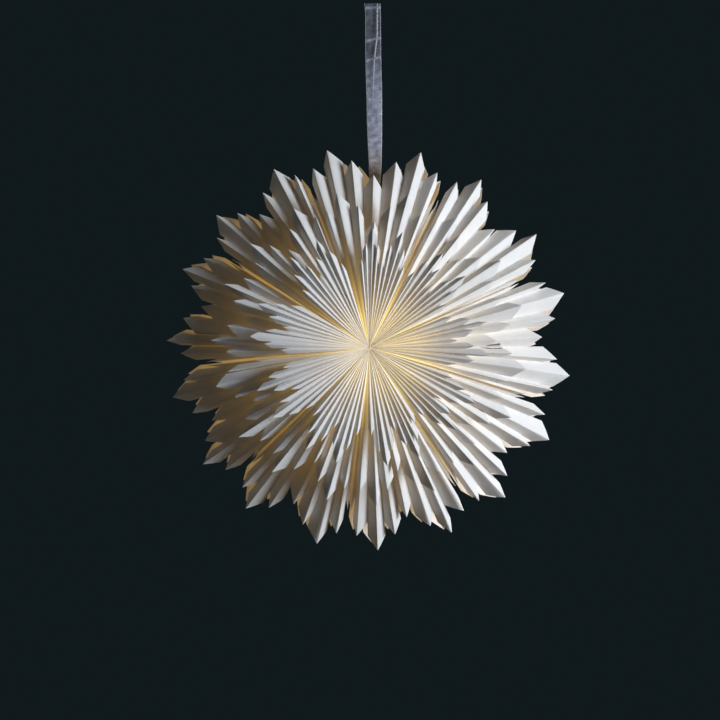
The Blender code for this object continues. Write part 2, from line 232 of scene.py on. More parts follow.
def columns_of(folds, drop, rng):
    """The sheet's lengthwise lines, in order: ridge, valley, place, bulge, end radius.

    The end radius is None where the line ends between a tip and a valley's end.
    """
    columns = []
    ends = {}
    for ridge, valley, ridge_first in facets_of(folds):
        bulge = uneven(rng, BULGE_SPREAD)
        ends[id(valley)] = max(ends.get(id(valley), 0.0), ridge.tip - drop)
        for place in FROM_RIDGE if ridge_first else FROM_VALLEY:
            columns.append((ridge, valley, place, bulge))
    last_place = "ridge" if folds[-1].ridge else "valley"
    columns.append((*columns[-1][:2], last_place, 0.0))
    return [(*column, ends[id(column[1])] if column[2] == "valley" else None)
            for column in columns]


def sheet_grid(layer, folds, rng):
    """Angle, height and radius of every point of one fan's sheet, and its share across."""
    columns = columns_of(folds, layer.drop, rng)
    grid = np.zeros((len(columns), len(STATIONS), 3))
    marks = np.zeros((len(columns), len(STATIONS)))
    for i, (ridge, valley, place, bulge, end) in enumerate(columns):
        width = abs(valley.angle - ridge.angle)
        near_tip = min(CREASE / (ridge.tip * width), CREASE_SHARE)
        share = across(place, near_tip)
        stop = end if end is not None else ridge.tip - share * layer.drop
        for j, station in enumerate(STATIONS):
            radius = INNER_RADIUS + station * (stop - INNER_RADIUS)
            near = min(CREASE / (radius * width), CREASE_SHARE)
            f = across(place, near)
            reach = (radius / ridge.tip) ** REACH_POWER
            angle = (ridge.angle + ridge.lean * reach) * (1 - f)
            angle += (valley.angle + valley.lean * reach) * f
            mean = (ridge.rise + valley.rise) / 2
            closing = 1 + GATHER * exp(-radius / GATHER_REACH)
            rise = mean + (ridge.rise * (1 - f) + valley.rise * f - mean) * closing
            if place == "ridge":
                rise += CREASE_ROUND * near * (valley.rise - ridge.rise)
            elif place == "valley":
                rise -= CREASE_ROUND * near * (valley.rise - ridge.rise)
            curl = (ridge.curl * (1 - f) + valley.curl * f) * reach
            swell = bulge * 4 * f * (1 - f) * radius / ridge.tip
            grid[i, j] = (angle, layer.apex + rise * radius + curl + swell, radius)
            marks[i, j] = f
    return grid, marks


def fan_mesh(name, grid, marks, middle, side, scale):
    """A grid of faces laid along the folds, with its cut edges marked sharp."""
    shape = bmesh.new()
    columns, rows = grid.shape[:2]
    bmesh.ops.create_grid(shape, x_segments=rows - 1, y_segments=columns - 1, size=0.5)
    across_fold = shape.verts.layers.float.new("across_fold")
    centre = np.array(STAR) + APEX_SHIFT * np.array((cos(middle), 0.0, sin(middle)))
    for vert in shape.verts:
        j = round((vert.co.x + 0.5) * (rows - 1))
        i = round((vert.co.y + 0.5) * (columns - 1))
        angle, height, radius = grid[i, j]
        turn = middle + angle
        out = (radius - APEX_SHIFT) * scale
        vert.co = centre + np.array((cos(turn) * out, side * height, sin(turn) * out))
        vert[across_fold] = marks[i, j]
    bmesh.ops.recalc_face_normals(shape, faces=shape.faces)
    if sum(face.normal.y * side * face.calc_area() for face in shape.faces) < 0:
        bmesh.ops.reverse_faces(shape, faces=shape.faces)
    for edge in shape.edges:
        edge.smooth = not edge.is_boundary
    for face in shape.faces:
        face.smooth = True
    mesh = bpy.data.meshes.new(name)
    shape.to_mesh(mesh)
    shape.free()
    return mesh


def add_fan(leaf, layer, side, shared, seed):
    """One leaf's sheet in one layer, on the front (side -1) or the back (side 1)."""
    where = "front" if side < 0 else "back"
    stem = f"leaf_{leaf + 1}_{where}_{layer.name}"
    rng = np.random.default_rng(seed)
    half = (leaf_width(leaf) - SLIT) / 2
    turn = 0.0
    if layer.narrow:
        half = inner_half(leaf)
        turn = radians(INNER_SKEW[leaf])
    elif leaf < 2:
        half += SEAM_CLOSER / 2
        turn = SEAM_CLOSER / 2 * (1 - 2 * leaf)
    middle = leaf_angle(leaf) + turn + (BACK_TURN if side > 0 else 0.0)
    folds = folds_of(layer, half, shared, rng, layer is OUTER and leaf in LAPPED)
    grid, marks = sheet_grid(layer, folds, rng)
    if layer.narrow:
        close_gaps(grid, leaf)
    scale = BACK_SCALE if side > 0 else 1.0
    mesh = fan_mesh(f"{stem}_paper", grid, marks, middle, side, scale)
    fan = add_object(f"{stem}_paper", mesh, PAPERS[layer.name], leaf_body(leaf))
    thicken(fan, PAPER)
    cad_node = f"{stem}_fan"
    if cad_node in frame["nodes"]:
        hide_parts(cad_node)


def thicken(piece, thickness):
    """Give a sheet its thickness, half to each side."""
    sheet = piece.modifiers.new("thickness", "SOLIDIFY")
    sheet.thickness = thickness
    sheet.offset = 0.0
    sheet.use_even_offset = True
    sheet.use_quality_normals = True


def add_object(name, mesh, material, body):
    """A piece that rides on a body, or on none."""
    piece = bpy.data.objects.new(name, mesh)
    bpy.context.scene.collection.objects.link(piece)
    mesh.materials.append(material)
    if body:
        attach(piece, body)
    return piece


# Materials ----------------------------------------------------------------------------------


class Nodes:
    """A short way to add shader nodes and join them."""

    def __init__(self, name):
        self.material = bpy.data.materials.new(name)
        self.material.use_nodes = True
        self.tree = self.material.node_tree
        self.shader = self.tree.nodes["Principled BSDF"]
        self.output = self.tree.nodes["Material Output"]

    def add(self, kind, inputs=None, **settings):
        node = self.tree.nodes.new(kind)
        for key, value in settings.items():
            setattr(node, key, value)
        for key, value in (inputs or {}).items():
            self.put(node.inputs[key], value)
        return node

    def put(self, socket, value):
        if isinstance(value, bpy.types.NodeSocket):
            self.tree.links.new(value, socket)
        else:
            socket.default_value = value

    def set(self, **inputs):
        for key, value in inputs.items():
            self.put(self.shader.inputs[key.replace("_", " ")], value)

    def math(self, operation, *values):
        node = self.add("ShaderNodeMath", operation=operation)
        for socket, value in zip(node.inputs, values):
            self.put(socket, value)
        return node.outputs[0]

    def vector_math(self, operation, *values, output=0):
        node = self.add("ShaderNodeVectorMath", operation=operation)
        for socket, value in zip(node.inputs, values):
            self.put(socket, value)
        return node.outputs[output]

    def noise(self, scale, detail=2.0, vector=None):
        inputs = {"Scale": scale, "Detail": detail}
        if vector is not None:
            inputs["Vector"] = vector
        return self.add("ShaderNodeTexNoise", inputs).outputs["Fac"]

    def ramp(self, value, *stops):
        node = self.add("ShaderNodeValToRGB", {"Fac": value})
        elements = node.color_ramp.elements
        while len(elements) < len(stops):
            elements.new(0.5)
        for element, (position, color) in zip(elements, stops):
            element.position = position
            element.color = (*color, 1.0)
        return node.outputs["Color"]

    def mix(self, factor, first, second, blend="MIX"):
        node = self.add("ShaderNodeMix", data_type="RGBA", blend_type=blend)
        for index, value in ((0, factor), (6, first), (7, second)):
            if index and not isinstance(value, bpy.types.NodeSocket):
                value = (*value, 1.0)
            self.put(node.inputs[index], value)
        return node.outputs[2]

    def coordinates(self, kind="Object"):
        return self.add("ShaderNodeTexCoord").outputs[kind]

    def part(self, vector, axis):
        return self.add("ShaderNodeSeparateXYZ", {"Vector": vector}).outputs[axis]

    def attribute(self, name):
        return self.add("ShaderNodeAttribute", attribute_name=name).outputs["Fac"]

    def bump(self, height, strength, distance):
        inputs = {"Height": height, "Strength": strength, "Distance": distance}
        self.set(Normal=self.add("ShaderNodeBump", inputs).outputs["Normal"])

    def spread(self, value, middle, gain, start=0.0):
        """start plus gain times how far a value is from its middle."""
        return self.math("MULTIPLY_ADD", self.math("SUBTRACT", value, middle), gain, start)


def grey(level):
    return (level, level, level)


# Painted lamp light on the paper, a warm emission that stands in for the bulb's light through it:
# (distance from the glow's centre, colour) stops
PAINTED_GLOW_CENTRE = STAR + Vector((0.017, 0.0, -0.004))
GLOW_REACH = 0.240
THROUGH = 0.16  # share of the light that passes through the paper
THROUGH_TINT = (0.93, 0.88, 0.78, 1.0)
INSIDE_PAINTED_GLOW = (
    (0.000, (1.00, 0.84, 0.44)), (0.045, (1.00, 0.80, 0.36)), (0.090, (0.90, 0.58, 0.14)),
    (0.150, (0.58, 0.34, 0.075)), (0.205, (0.42, 0.23, 0.048)), (0.240, (0.10, 0.06, 0.02)))
OUTSIDE_PAINTED_GLOW = {
    "outer": ((0.000, (0.090, 0.052, 0.012)), (0.100, (0.080, 0.045, 0.010)),
              (0.145, (0.050, 0.027, 0.0055)), (0.172, (0.014, 0.0075, 0.0015)),
              (0.200, (0.0, 0.0, 0.0))),
    "mid": ((0.000, (0.95, 0.78, 0.36)), (0.040, (0.85, 0.62, 0.22)),
            (0.065, (0.42, 0.27, 0.075)), (0.090, (0.175, 0.108, 0.028)),
            (0.120, (0.090, 0.052, 0.012)), (0.145, (0.034, 0.019, 0.004)),
            (0.170, (0.0, 0.0, 0.0))),
    "inner": ((0.000, (0.60, 0.41, 0.110)), (0.035, (0.48, 0.315, 0.070)),
              (0.065, (0.155, 0.088, 0.017)), (0.095, (0.042, 0.023, 0.004)),
              (0.122, (0.0, 0.0, 0.0))),
}
RIDGE_PAINTED_GLOW = {"outer": 0.55, "mid": 0.40, "inner": 0.22}  # share of the painted lamp light on the ridges, beside 1 in the valleys
INSIDE_SHARE = {"outer": 0.22, "mid": 0.03, "inner": 0.02}  # share of the painted inside lamp light, by layer
ACROSS_FLAT = (1.0, 0.0, 1.0)  # keeps a vector's part in the plane that the star faces


def glow_ramp(n, distance, stops):
    return n.ramp(distance, *[(radius / GLOW_REACH, color) for radius, color in stops])


def paper_material(layer):
    """White uncoated paper: faint fibres, soft folds, some real translucency, and the lamp's
    light painted on as a warm emission.
    """
    n = Nodes(f"paper_{layer}")
    place = n.coordinates()
    cloud = n.noise(55.0, 3.0, place)
    fibre = n.noise(1500.0, 4.0, place)
    speck = n.noise(420.0, 2.0, place)
    white = n.ramp(cloud, (0.30, (0.82, 0.82, 0.815)), (0.72, (0.88, 0.88, 0.88)))
    grain = n.ramp(fibre, (0.25, (0.94, 0.94, 0.935)), (0.75, (1.0, 1.0, 1.0)))
    roughness = n.ramp(speck, (0.2, grey(0.66)), (0.8, grey(0.84)))
    n.set(Base_Color=n.mix(1.0, white, grain, "MULTIPLY"), Roughness=roughness)
    n.set(Specular_IOR_Level=0.25)
    n.bump(n.math("ADD", n.math("MULTIPLY", fibre, 0.6), speck), 0.25, 0.00010)

    # Painted lamp light: a warm emission that fades with distance from the glow's centre, across
    # the star's face
    offset = n.vector_math("SUBTRACT", place, tuple(PAINTED_GLOW_CENTRE))
    flat = n.vector_math("MULTIPLY", offset, ACROSS_FLAT)
    distance = n.math("DIVIDE", n.vector_math("LENGTH", flat, output="Value"), GLOW_REACH)
    outside = glow_ramp(n, distance, OUTSIDE_PAINTED_GLOW[layer])
    # The painted lamp light is stronger in the valleys than on the ridges
    fold = n.math("POWER", n.attribute("across_fold"), 1.3)
    share = n.math("MULTIPLY_ADD", fold, 1.0 - RIDGE_PAINTED_GLOW[layer], RIDGE_PAINTED_GLOW[layer])
    # The painted lamp light's strength varies from one direction round the centre to another
    spoke = n.vector_math("SUBTRACT", place, tuple(STAR))
    spoke = n.vector_math("NORMALIZE", n.vector_math("MULTIPLY", spoke, ACROSS_FLAT))
    sector = n.ramp(n.noise(3.1, 2.0, spoke), (0.30, grey(0.55)), (0.70, grey(1.30)))
    share = n.math("MULTIPLY", share, sector)
    outside = n.vector_math("MULTIPLY", outside, n.add("ShaderNodeCombineXYZ", {
        "X": share, "Y": share, "Z": share}).outputs[0])
    # Painted lamp light on the faces turned in towards the bulb
    dimmed = [(radius, tuple(level * INSIDE_SHARE[layer] for level in color))
              for radius, color in INSIDE_PAINTED_GLOW]
    inside = glow_ramp(n, distance, dimmed)
    depth = n.math("MULTIPLY", n.part(place, "Y"), n.part(n.coordinates("Normal"), "Y"))
    inward = n.math("LESS_THAN", depth, 0.0)
    n.set(Emission_Color=n.mix(inward, outside, inside), Emission_Strength=1.0)

    through = n.add("ShaderNodeBsdfTranslucent", {"Color": THROUGH_TINT})
    mix = n.add("ShaderNodeMixShader", {"Fac": THROUGH})
    n.put(mix.inputs[1], n.shader.outputs[0])
    n.put(mix.inputs[2], through.outputs[0])
    n.put(n.output.inputs["Surface"], mix.outputs[0])
    return n.material


PAPERS = {layer: paper_material(layer) for layer in OUTSIDE_PAINTED_GLOW}


def organza_material():
    """Sheer ribbon: crossed fine threads, bright firm edges, denser where it is creased, and
    painted warm lamp light towards its low end by the star.
    """
    n = Nodes("organza")
    place = n.coordinates()
    threads = {"Vector": place, "Scale": 520.0, "Distortion": 0.6, "Detail": 1.0}
    weave_x, weave_z = (
        n.add("ShaderNodeTexWave", threads, wave_type="BANDS", bands_direction=way).outputs["Fac"]
        for way in "XZ")
    weave = n.math("MAXIMUM", weave_x, weave_z)
    blotch = n.noise(190.0, 3.0, place)
    streak = n.noise(60.0, 2.0, n.vector_math("MULTIPLY", place, (3.0, 1.0, 0.8)))
    tint = n.ramp(blotch, (0.30, (0.36, 0.37, 0.47)), (0.70, (0.66, 0.67, 0.78)))
    height = n.math("DIVIDE", n.part(place, "Z"), RIBBON_LOW)
    # Painted lamp light: the ribbon turns warm towards its low end, where it reaches into the
    # star
    painted_lamp_warmth = n.ramp(height, (0.68, (1.0, 1.0, 1.0)), (0.88, (0.86, 0.68, 0.46)))
    color = n.mix(1.0, tint, painted_lamp_warmth, "MULTIPLY")
    edge = n.attribute("selvedge")
    color = n.mix(edge, color, (0.80, 0.82, 0.88))
    n.set(Base_Color=color, Roughness=0.42, Sheen_Weight=0.5, Sheen_Roughness=0.3)
    n.bump(n.math("MULTIPLY_ADD", weave, 0.5, blotch), 0.35, 0.00012)
    dense = n.ramp(height, *((down, grey(level)) for down, level in RIBBON_DENSITY))
    patchy = n.spread(streak, 0.5, 0.9, 1.0)
    patchy = n.math("ADD", patchy, n.spread(blotch, 0.5, 0.8))
    patchy = n.math("ADD", patchy, n.spread(weave, 0.5, 0.2))
    dense = n.math("MULTIPLY", dense, patchy)
    dense = n.math("ADD", dense, n.math("MULTIPLY", n.attribute("crease"), 0.60))
    dense = n.math("MAXIMUM", dense, n.math("MULTIPLY", edge, 0.45))
    dense.node.use_clamp = True
    n.set(Alpha=dense)
    return n.material


def jacket_material(name, color, roughness):
    """A flex's matt plastic jacket, or a plain moulded plastic, with faint mould marks."""
    n = Nodes(name)
    place = n.coordinates()
    cloud = n.noise(90.0, 2.0, place)
    grain = n.noise(1400.0, 2.0, place)
    darker = tuple(level * 0.90 for level in color)
    n.set(Base_Color=n.ramp(cloud, (0.3, darker), (0.7, color)),
          Roughness=n.ramp(grain, (0.2, grey(roughness - 0.06)), (0.8, grey(roughness + 0.08))))
    n.bump(grain, 0.15, 0.00008)
    return n.material


def thread_material():
    """White cotton: a tight twist of fine plies."""
    n = Nodes("cotton_thread")
    place = n.coordinates()
    ply = n.add("ShaderNodeTexWave", {
        "Vector": place, "Scale": 420.0, "Distortion": 2.0, "Detail": 2.0},
        wave_type="BANDS", bands_direction="DIAGONAL").outputs["Fac"]
    fuzz = n.noise(1800.0, 3.0, place)
    n.set(Base_Color=n.ramp(ply, (0.1, (0.62, 0.58, 0.50)), (0.8, (0.86, 0.83, 0.76))),
          Roughness=n.ramp(fuzz, (0.2, grey(0.72)), (0.8, grey(0.92))), Sheen_Weight=0.3)
    n.bump(n.math("MULTIPLY_ADD", fuzz, 0.4, ply), 0.5, 0.00015)
    return n.material


def cap_material():
    """Nickelled metal with random brownish stains, and duller along fine scratches."""
    n = Nodes("cap_metal")
    place = n.coordinates()
    stain = n.noise(160.0, 4.0, place)
    scratch = n.noise(700.0, 2.0, n.vector_math("MULTIPLY", place, (1.0, 1.0, 8.0)))
    n.set(Base_Color=n.ramp(stain, (0.3, (0.52, 0.49, 0.43)), (0.7, (0.76, 0.75, 0.72))),
          Roughness=n.ramp(scratch, (0.2, grey(0.22)), (0.8, grey(0.42))), Metallic=1.0)
    n.bump(scratch, 0.12, 0.00005)
    return n.material


def contact_material():
    """The black glass and solder of a bulb's end contact."""
    n = Nodes("contact")
    height = n.part(n.coordinates(), "Z")
    near_top = n.math("GREATER_THAN", height, CAP_TOP + SOLDER_FOOT)
    grain = n.noise(900.0, 2.0, n.coordinates())
    n.set(Base_Color=n.mix(near_top, (0.02, 0.02, 0.022), (0.55, 0.55, 0.56)),
          Roughness=n.ramp(grain, (0.2, grey(0.25)), (0.8, grey(0.45))))
    n.bump(grain, 0.2, 0.0001)
    return n.material


def globe_material():
    """Lit opal glass, a little dimmer towards the neck."""
    n = Nodes("opal_glass")
    place = n.coordinates()
    height = n.part(n.vector_math("SUBTRACT", place, (0.0, 0.0, GLOBE_Z)), "Z")
    level = n.math("MULTIPLY_ADD", height, 1.0 / BULB_FADE, 0.45)
    cloud = n.noise(70.0, 2.0, place)
    lit = n.ramp(level, (0.0, (1.0, 0.80, 0.48)), (0.75, (1.0, 0.74, 0.40)),
                 (1.0, (0.50, 0.33, 0.15)))
    n.set(Base_Color=(0.92, 0.89, 0.82, 1.0), Emission_Color=lit, Emission_Strength=BULB_STRENGTH,
          Roughness=n.ramp(cloud, (0.2, grey(0.16)), (0.8, grey(0.26))),
          Coat_Weight=0.4, Coat_Roughness=0.08)
    return n.material


def tape_material():
    """Clear-coated paper tape with a fine cross crepe, and a faint painted warm glow for the
    lamp's light through it.
    """
    n = Nodes("seam_tape")
    place = n.coordinates()
    crepe = n.noise(900.0, 2.0, n.vector_math("MULTIPLY", place, (1.0, 6.0, 1.0)))
    n.set(Base_Color=n.ramp(crepe, (0.2, (0.74, 0.73, 0.69)), (0.8, (0.86, 0.85, 0.82))),
          # Painted lamp light: a faint warm emission on the tape
          Roughness=0.55, Emission_Color=(0.05, 0.03, 0.01, 1.0), Emission_Strength=1.0)
    n.bump(crepe, 0.4, 0.0001)
    return n.material


# Ribbon and flex ----------------------------------------------------------------------------

RIBBON_LOW = -0.2280
STRAND_Y = 0.0017  # the two strands run either side of the flex
RIBBON_THICK = 0.00016
UPPER_JOIN, LOWER_JOIN = -0.0105, -0.0300  # where the ribbon's three lengths meet
SWAY_SIDEWAYS_TOP = -0.0030  # heights listed in the span table for where each sway's bend starts and ends
SWAY_FORWARDS_LOW = -0.0170
TWIST_LOW = -0.1650
# The ribbon's middle and width, and the flex's place, all by (height, value)
RIBBON_CENTRES = ((0.0, -0.0016), (-0.0055, -0.0004), (-0.060, -0.0002), (-0.100, 0.0009),
                  (-0.145, 0.0014), (-0.183, 0.0021), (-0.205, 0.0014), (-0.228, 0.0))
RIBBON_WIDTHS = ((0.0, 0.0184), (-0.0055, 0.0172), (-0.060, 0.0176), (-0.100, 0.0176),
                 (-0.145, 0.0166), (-0.183, 0.0140), (-0.210, 0.0120), (-0.228, 0.0060))
FLEX_PATH = ((0.0, 0.0040), (-0.038, 0.0038), (-0.055, 0.0015), (-0.070, 0.0002),
             (-0.100, -0.0005), (-0.133, -0.0026), (-0.170, -0.0024), (-0.205, -0.0006),
             (-0.2290, 0.0))
# Fold lines left by the ribbon's packing: height, slant, how far it stands out
RIBBON_CREASES = ((-0.0048, 0.03, 0.00055), (-0.0405, 0.24, 0.00050), (-0.0625, 0.30, 0.00040),
                  (-0.1080, -0.05, 0.00040), (-0.1240, 0.04, 0.00035), (-0.1535, -0.03, 0.00035),
                  (-0.1760, 0.10, 0.00030), (-0.2000, -0.12, 0.00030))
CREASE_WIDTH = 0.0010
CREASE_LIFT = 0.6  # of its listed height
CREASE_TURN = 0.3  # how differently the two strands' fold lines slant
# A fold line's mark: its mean, and how much and how fast it varies across the ribbon
CREASE_MARK, CREASE_FLECK, CREASE_FLECKS = 0.75, 0.25, 900.0
SELVEDGE = 0.0009
SELVEDGE_FIRM = 0.6  # share of it that is at full strength
# Small waves: height, how fast each runs down and across, and how far it shifts with the phase
CRUMPLES = ((0.00020, 210.0, 190.0, 1.0), (0.00012, 530.0, -420.0, 1.7),
            (0.00008, 1230.0, 700.0, 2.3))
# How dense the cloth looks, from the top (0) to the low end (1)
RIBBON_DENSITY = ((0.0, 0.075), (0.25, 0.070), (0.37, 0.24), (0.60, 0.50), (1.0, 0.52))
ACROSS_STEPS = 22
ROW_STEP = 0.0010
FLEX_RADIUS = 0.0011
FLEX_STEP = 0.003
ORGANZA = organza_material()


def along(stops, z):
    """The value at height z, straight between (height, value) stops that go down."""
    heights = [-stop[0] for stop in stops]
    return float(np.interp(-z, heights, [stop[1] for stop in stops]))


def softly(stops, z, reach=0.006):
    """along(), rounded off at its stops."""
    samples = [along(stops, z + reach * offset) for offset in (-1.0, -0.5, 0.0, 0.5, 1.0)]
    return sum(samples) / len(samples)


def crumple(x, z, phase):
    """Height of the ribbon's small waves at a point."""
    return sum(height * sin(z * down + x * over + shift * phase)
               for height, down, over, shift in CRUMPLES)


def strand_mesh(name, high, low, side):
    """One thickness of ribbon from high to low, with its crumples and fold lines."""
    shape = bmesh.new()
    rows = max(2, round((high - low) / ROW_STEP))
    bmesh.ops.create_grid(shape, x_segments=ACROSS_STEPS, y_segments=rows, size=0.5)
    selvedge = shape.verts.layers.float.new("selvedge")
    crease = shape.verts.layers.float.new("crease")
    for vert in shape.verts:
        across_share = vert.co.x * 2
        z = low + (vert.co.y + 0.5) * (high - low)
        width = softly(RIBBON_WIDTHS, z)
        reach = width / 2
        x = across_share * reach
        edge_distance = reach - abs(x)
        mark = 0.0
        lift = 0.0
        for crease_z, slant, stand in RIBBON_CREASES:
            distance = (z - crease_z - slant * x * (1.0 + CREASE_TURN * side)) / CREASE_WIDTH
            bell = exp(-distance * distance)
            mark = max(mark, bell * (CREASE_MARK + CREASE_FLECK * sin(CREASE_FLECKS * x)))
            lift += stand * bell
        y = side * (STRAND_Y + lift * CREASE_LIFT + crumple(x, z, 1.0 + side))
        vert.co = Vector((softly(RIBBON_CENTRES, z) + x, y, z))
        vert[selvedge] = 1.0 if edge_distance < SELVEDGE * SELVEDGE_FIRM else 0.0
        vert[crease] = mark
    bmesh.ops.recalc_face_normals(shape, faces=shape.faces)
    for face in shape.faces:
        face.smooth = True
    mesh = bpy.data.meshes.new(name)
    shape.to_mesh(mesh)
    shape.free()
    return mesh


def tube_mesh(name, points, radius, sides=16, squash=1.0):
    """A closed tube through the points, flattened along Y by squash."""
    shape = bmesh.new()
    points = [Vector(point) for point in points]
    rings = []
    normal = None
    for index, point in enumerate(points):
        ahead = points[min(index + 1, len(points) - 1)]
        behind = points[max(index - 1, 0)]
        tangent = (ahead - behind).normalized()
        guide = normal if normal is not None else (
            Vector((0.0, 1.0, 0.0)) if abs(tangent.y) < 0.9 else Vector((1.0, 0.0, 0.0)))
        normal = (guide - tangent * guide.dot(tangent)).normalized()
        side = tangent.cross(normal)
        ring = []
        for step in range(sides):
            turn = 2 * pi * step / sides
            offset = normal * cos(turn) * squash + side * sin(turn)
            ring.append(shape.verts.new(point + offset * radius))
        rings.append(ring)
    for first, second in zip(rings, rings[1:]):
        for step in range(sides):
            following = (step + 1) % sides
            shape.faces.new((first[step], first[following], second[following], second[step]))
    shape.faces.new(rings[0])
    shape.faces.new(rings[-1])
    bmesh.ops.recalc_face_normals(shape, faces=shape.faces)
    for face in shape.faces:
        face.smooth = len(face.verts) == 4
    mesh = bpy.data.meshes.new(name)
    shape.to_mesh(mesh)
    shape.free()
    return mesh


def flex_points(high, low):
    """The flex's middle line from high to low."""
    steps = max(2, round((high - low) / FLEX_STEP))
    return [(softly(FLEX_PATH, z), 0.0, z)
            for z in (high + (low - high) * step / steps for step in range(steps + 1))]


def add_ribbon():
    """Three lengths of ribbon and flex that meet end to end where the ribbon is jointed."""
    jacket = jacket_material("flex_jacket", (0.46, 0.47, 0.53), 0.42)
    # Name, top, bottom, body above, body below, where the bend starts and ends, CAD nodes
    spans = (
        ("top", 0.0, UPPER_JOIN, "ribbon_top", "ribbon_bend",
         SWAY_SIDEWAYS_TOP, UPPER_JOIN, "ribbon_end", "ribbon_end"),
        ("bend", UPPER_JOIN, LOWER_JOIN, "ribbon_bend", "ribbon",
         UPPER_JOIN, SWAY_FORWARDS_LOW, "ribbon_bend", "ribbon_bend"),
        ("long", LOWER_JOIN, RIBBON_LOW, "ribbon", "star_core",
         LOWER_JOIN, TWIST_LOW, "ribbon_front_strand", "ribbon_back_strand"),
    )
    for name, high, low, above, below, start, end, front_node, back_node in spans:
        for side, where, node in ((-1, "front", front_node), (1, "back", back_node)):
            stem = f"ribbon_{name}_{where}"
            strand = add_object(stem, strand_mesh(stem, high, low, side), ORGANZA, None)
            thicken(strand, RIBBON_THICK)
            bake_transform(strand)
            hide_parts(node)
        stem = f"flex_{name}"
        mesh = tube_mesh(stem, flex_points(high, low), FLEX_RADIUS)
        flex = add_object(stem, mesh, jacket, None)
        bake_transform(flex)
        if name == "long":
            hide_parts("flex_upper")
    assign("flex_lower", jacket)


def assign(node, material):
    """Give a CAD node that stays a new material."""
    mesh = frame["nodes"][node]
    for place in mesh.material_slots:
        place.material = material


# Knots, yoke and lamp -----------------------------------------------------------------------

TREFOIL_STEPS = 60
TAIL_KNOT_Z = -0.2300
TAIL_KNOT_REACH = (0.0052, 0.0030, 0.0030)
TAIL_KNOT_RADIUS = 0.0020
TAIL_KNOT_SQUASH = 0.7
KNOT_Y = 0.0578
KNOT_REACH = (0.0010, 0.0004, 0.0010)
KNOT_CORD_RADIUS = 0.00040
SHANK_RADIUS = 0.00060
SHANK_END_Y = 0.0440
YOKE_TOP = (-0.0035, -0.2366)
YOKE_TOP_DROP = 0.0010
YOKE_HALF_LOOP = 0.0040
YOKE_RADIUS = 0.0008
YOKE_LAY = 0.0034  # the length of one twist of its two plies
LAY_STEPS = 8  # points in one twist
PLY_OFFSET, PLY_RADIUS = 0.50, 0.52  # of the cord's radius
PLAIN_SEGMENTS = 72
HARD_ANGLE = radians(50.0)  # steeper edges of turned pieces are sharp
ON_AXIS = 1e-7
ROUNDING = {"grip": 0.0003, "shoulder": 0.0012, "mouth": 0.0008, "contact": 0.0002}

GRIP_HEIGHT = 0.0100
GRIP_TOP_RADIUS = 0.0033
GRIP_LOW_RADIUS = 0.0060
GRIP_RINGS = 4
GRIP_RING_STEP = 0.0020
GRIP_RING_OUT = 0.0004  # how far a ring stands out beyond the groove under it
GRIP_RING_GROWTH = 0.0005
GRIP_FIRST_RING = 0.0012
GRIP_GROOVE = 0.0008
GRIP_FOOT = 0.0012
GRIP_SEAT = 0.0003
HOLDER_RADIUS = 0.0140
HOLDER_BORE = 0.0076
HOLDER_MOUTH = 0.0110
MOUTH_DEPTH = 0.0060
HOLDER_TOP = STAR.z + 0.0620
HOLDER_LOW = STAR.z + 0.0240
HOLDER_ROOF = 0.0140
HOLDER_SHOULDER = (0.0100, 0.0040)  # the radius where it starts, and its fall
HOLDER_RIBS = 28
RIB_DEPTH = 0.00035
RIB_LEVEL = -0.2  # a rib's wave is cut away below this
RIBS_TOP = HOLDER_TOP - 0.010
RIBS_LOW = HOLDER_LOW + 0.006
RIB_END = 0.0005
RIB_STEPS = 14
RIB_SEGMENTS = 6 * HOLDER_RIBS
GLOBE_Z = STAR.z - 0.0120
GLOBE_RADIUS = 0.0225
GLOBE_WALL = 0.0010
GLOBE_STEPS = 30
NECK_ARC = radians(22.0)  # half the angle that the neck opens in the globe
NECK_RADIUS = 0.0085
NECK_Z = GLOBE_Z + 0.0330
CAP_RADIUS = 0.0070
CAP_TOP = GLOBE_Z + 0.0560
CAP_CROWN = 0.0036
CAP_SHOULDER = 0.0030
CAP_FLARE = 0.0020
CAP_STEPS = 72
CAP_GAP = 0.0003  # left over the globe's neck
CAP_RIM = ((0.0002, 0.0001), (0.0010, 0.0))  # inside the neck's radius, above the foot
THREAD_PITCH = 0.0028
THREAD_DEPTH = 0.00042
THREAD_FADE = 0.001
THREAD_ENDS = (0.0030, 0.0040)  # from the neck, and from the cap's top
SAME_RADIUS = 0.0005  # points this near to the full radius are shaped
# The end contact's radii, and their heights above the cap
CONTACT = ((0.0, 0.0020), (0.0014, 0.0019), (0.0019, 0.0010), (0.0034, 0.0005),
           (0.0034, 0.0001), (0.0, 0.0001))
SOLDER_FOOT = 0.0011  # the solder begins this far above the cap
BULB_STRENGTH = 0.9
BULB_FADE = 0.060  # the height over which the globe's light dims


def soften(profile, reach):
    """The profile with each inner corner rounded over a length of reach."""
    rounded = [profile[0]]
    for before, corner, after in zip(profile, profile[1:], profile[2:]):
        before, corner, after = Vector(before), Vector(corner), Vector(after)
        into, out = before - corner, after - corner
        start = corner + into * min(reach / into.length, 0.4)
        end = corner + out * min(reach / out.length, 0.4)
        for t in (0.0, 0.35, 0.65, 1.0):
            rounded.append(tuple(start * (1 - t) ** 2 + corner * 2 * t * (1 - t) + end * t * t))
    rounded.append(profile[-1])
    return rounded


